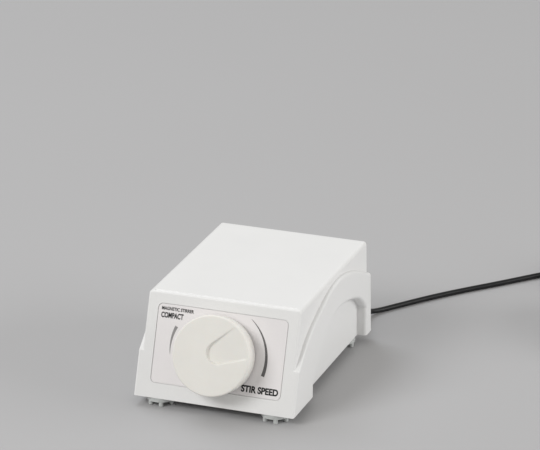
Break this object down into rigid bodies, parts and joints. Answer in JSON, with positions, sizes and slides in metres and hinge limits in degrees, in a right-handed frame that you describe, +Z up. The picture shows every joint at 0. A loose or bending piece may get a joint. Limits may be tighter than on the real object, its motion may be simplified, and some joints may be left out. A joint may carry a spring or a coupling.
{
  "type": "magnetic stirrer",
  "caption": "Compact bench magnetic stirrer with a flat stirring plate, leaning control panel with a speed knob, arched side cheeks, peg feet and a low-voltage adapter cord.",
  "frame": {"origin": "centre of the stirrer's bounding box, cord and adapter left out, on the table under the feet", "axes": "+Z up, +X to the operator's right, -Y towards the operator and the control panel"},
  "size_m": [0.224, 0.2744, 0.0552],
  "materials": {
    "housing_white": "glossy white moulded ABS",
    "cover_white": "satin moulded ABS",
    "foot_clear": "translucent soft elastomer",
    "label_film": "satin printed polyester on a thin plate",
    "knob_ivory": "satin ivory moulded plastic",
    "screw_steel": "zinc plated",
    "sheet_steel": "plated sheet steel",
    "brass": "turned brass",
    "moulded_nylon": "natural nylon",
    "ferrite": "sintered magnet, nickel grey",
    "phenolic": "brown paper laminate",
    "board_green": "glass epoxy with green mask",
    "capacitor_sleeve": "sleeved aluminium can",
    "black_epoxy": "moulded epoxy",
    "lead_wire": "PVC insulated wire",
    "cord_black": "black PVC",
    "adapter_black": "fine textured black plastic"
  },
  "bodies": {
    "housing": {"top_housing": "housing_white", "bottom_cover": "cover_white", "foot_front_left": "foot_clear", "foot_front_right": "foot_clear", "foot_rear_left": "foot_clear", "foot_rear_right": "foot_clear", "label_plate": "label_film", "cover_screws": "screw_steel", "motor_screws": "screw_steel", "bracket_screws": "screw_steel", "board_screws": "screw_steel", "panel_washer": "screw_steel", "panel_nut": "screw_steel", "motor_can": "sheet_steel", "motor_bracket": "sheet_steel", "potentiometer_case": "sheet_steel", "potentiometer_bushing": "sheet_steel", "motor_bushes": "brass", "motor_terminals": "brass", "potentiometer_tags": "brass", "adapter_blades": "brass", "board_connectors": "moulded_nylon", "motor_end_cap": "moulded_nylon", "motor_field_magnets": "ferrite", "potentiometer_wafer": "phenolic", "circuit_board": "board_green", "capacitors": "capacitor_sleeve", "control_chip": "black_epoxy", "drive_transistor": "black_epoxy", "motor_leads": "lead_wire", "supply_leads": "lead_wire", "control_leads": "lead_wire", "power_cord": "cord_black", "adapter_lead": "cord_black", "cord_coil": "cord_black", "cord_grommet": "cord_black", "adapter_boot": "cord_black", "cord_tie": "cord_black", "adapter_body": "adapter_black"},
    "knob": {"speed_knob": "knob_ivory", "potentiometer_shaft": "screw_steel", "potentiometer_wiper": "phenolic"},
    "rotor": {"magnet_holder": "moulded_nylon", "magnet_keeper": "sheet_steel", "drive_magnets": "ferrite", "motor_spindle": "screw_steel", "motor_armature": "sheet_steel"}
  },
  "joints": [
    {"name": "knob_turn", "type": "hinge", "parent": "housing", "child": "knob", "pos_m": [0, -0.04676, 0.02936], "axis": [0, -0.9447, 0.328], "range_deg": [-98, 202]},
    {"name": "rotor_spin", "type": "hinge", "parent": "housing", "child": "rotor", "pos_m": [0, 0.02271, 0.04], "axis": [0, 0, 1], "continuous": true}
  ]
}
